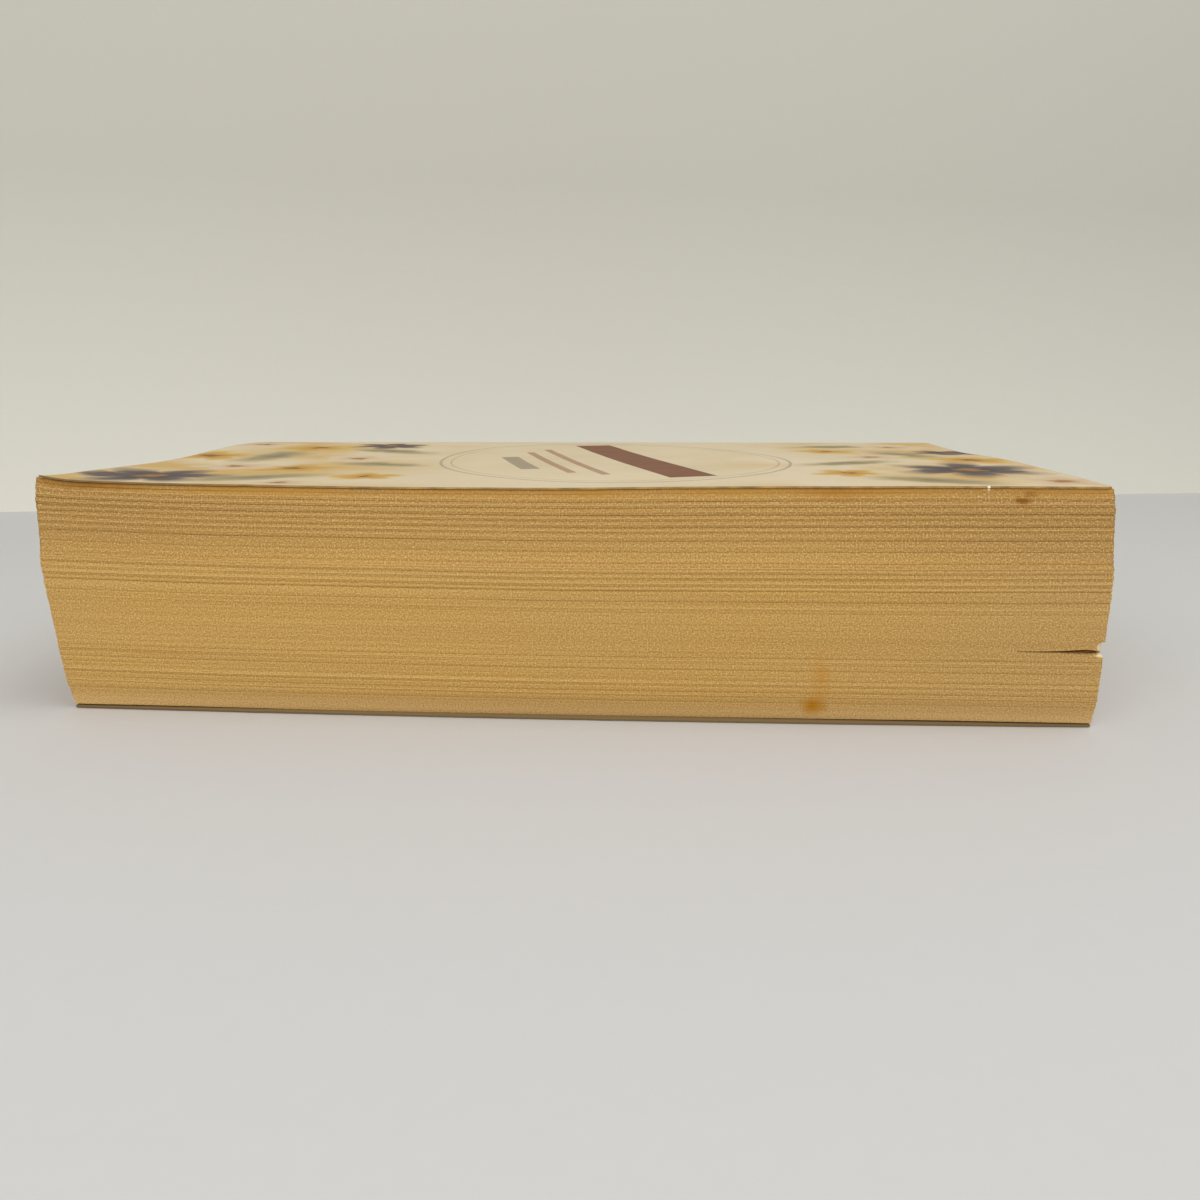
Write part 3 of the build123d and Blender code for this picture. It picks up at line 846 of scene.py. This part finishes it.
# Floor and backdrop
def stage_paint(name, colour, foot_light_colour=None):
    """Matt paint on board, with a faint mottle of 3 mm. With a foot colour, the sheet is lighter at its foot,
    painted light where the table throws light up onto it, and can be seen through from behind."""
    material, tree = start_material(name)
    place = node(tree, "TexCoord").outputs["Object"]
    if foot_light_colour:
        up = node(tree, "SeparateXYZ", {0: place}).outputs["Y"]
        # painted light: lighter towards the foot of the sheet
        colour = lay_colours(tree, colour, [(foot_light_colour, 1.0, (up, -0.36, -0.5))])
    mottle = node(tree, "TexNoise", {"Vector": place, "Scale": 300.0, "Detail": 2.0})
    share = node(tree, "MapRange", {"Value": mottle, "To Max": 0.3})
    tint = node(tree, "Mix", {0: share, 6: colour, 7: (0.93, 0.93, 0.93, 1)}, data_type="RGBA",
                blend_type="MULTIPLY")
    surface = node(tree, "BsdfPrincipled", {"Base Color": tint, "Roughness": 0.8})
    if foot_light_colour:
        behind = node(tree, "NewGeometry").outputs["Backfacing"]
        clear = node(tree, "BsdfTransparent")
        surface = node(tree, "MixShader", {0: behind, 1: surface, 2: clear})
    node(tree, "OutputMaterial", {"Surface": surface})
    return material


def stage_sheet(name, paint, centre, turns, size):
    bpy.ops.object.select_all(action="DESELECT")
    bpy.ops.mesh.primitive_plane_add(size=1, location=centre, rotation=turns, scale=size)
    sheet = bpy.context.object
    sheet.name = name
    bpy.ops.object.transform_apply(location=False, rotation=False, scale=True)
    sheet.data.materials.append(paint)
    return sheet


# A dip in the floor behind the spine, in millimetres, where the opened back cover lies
dip_depth = 0.45
dip_half_length, dip_end_fade = 130, 38
dip_start, dip_start_fade = 50, 6
dip_end, dip_back_fade = 230, 60


def sink_floor(sheet):
    bpy.ops.object.select_all(action="DESELECT")
    sheet.select_set(True)
    bpy.context.view_layer.objects.active = sheet
    bpy.ops.object.mode_set(mode="EDIT")
    slice_at(0, [MM * x for x in range(-132, 133, 6)])
    slice_at(1, [MM * y for y in (*range(49, 59), *range(64, 240, 8))])
    points = flat_points(sheet) / MM
    in_from_ends = np.clip((dip_half_length - abs(points[:, 0])) / dip_end_fade, 0, 1)
    in_from_start = np.clip((points[:, 1] - dip_start) / dip_start_fade, 0, 1)
    in_from_back = np.clip((dip_end - points[:, 1]) / dip_back_fade, 0, 1)
    fade = in_from_ends * in_from_start * in_from_back
    points[:, 2] -= dip_depth * fade**2 * (3 - 2 * fade)
    sheet.data.vertices.foreach_set("co", (points * MM).astype(np.float32).ravel())
    sheet.data.update()
    bpy.ops.object.shade_smooth()


floor = stage_sheet("studio_floor", stage_paint("studio_floor_matt_paint", "#CCCBC9"),
                    (0, 0, 0), (0, 0, 0), (6, 6, 1))
backdrop = stage_sheet("studio_backdrop", stage_paint("studio_backdrop_matt_paint", "#C3C1B5", "#E2E0D4"),
                       ((21.4 + middle_x) * MM, (311.9 + fore_edge_y) * MM, 0.5),
                       (math.radians(90), 0, math.radians(12.3)), (6, 4, 1))
sink_floor(floor)

# Light. The room lights the book more softly than it looks.
world = bpy.data.worlds.new("soft_room")
bpy.context.scene.world = world
world.use_nodes = True
room = world.node_tree.nodes["Background"].inputs
room["Color"].default_value = (1, 1, 1, 1)
looked_at = node(world.node_tree, "LightPath").outputs["Is Camera Ray"]
brightness = node(world.node_tree, "MapRange", {"Value": looked_at, "To Min": 0.45, "To Max": 0.6})
world.node_tree.links.new(brightness.outputs[0], room["Strength"])


def soft_light(name, place, size, watts):
    """A white panel that faces the book."""
    light = bpy.data.lights.new(name, "AREA")
    light.shape = "RECTANGLE"
    light.size, light.size_y = size
    light.energy = watts
    lamp = bpy.data.objects.new(name, light)
    lamp.location = place
    lamp.rotation_euler = (Vector((0, 0, 0.02)) - Vector(place)).to_track_quat("-Z", "Y").to_euler()
    bpy.context.scene.collection.objects.link(lamp)


soft_light("window_light", (0.4, -0.25, 0.8), (0.7, 0.7), 3.2)
soft_light("room_fill", (-0.25, -0.8, 0.5), (0.9, 0.5), 5.0)

# Camera, where the photograph was taken from
yaw, pitch, roll = math.radians(-2.459), math.radians(12.516), math.radians(0.30)
ahead = Vector((math.sin(yaw) * math.cos(pitch), math.cos(yaw) * math.cos(pitch), -math.sin(pitch)))
level = Vector((math.cos(yaw), -math.sin(yaw), 0))
above = level.cross(ahead)
across = math.cos(roll) * level + math.sin(roll) * above
upward = math.cos(roll) * above - math.sin(roll) * level
camera_data = bpy.data.cameras.new("photo_camera")
camera_data.lens = 30.0
camera_data.sensor_width = 36.0
camera_data.clip_start = 0.01
camera = bpy.data.objects.new("photo_camera", camera_data)
camera_place = Vector((middle_x + 13.05, fore_edge_y - 161.776, 57.0)) * MM  # fitted to the book's corners
axes_of_view = Matrix((across, upward, -ahead)).transposed().to_4x4()
camera.matrix_world = Matrix.Translation(camera_place) @ axes_of_view
bpy.context.scene.collection.objects.link(camera)
bpy.context.scene.camera = camera
bpy.context.scene.view_settings.view_transform = "Standard"
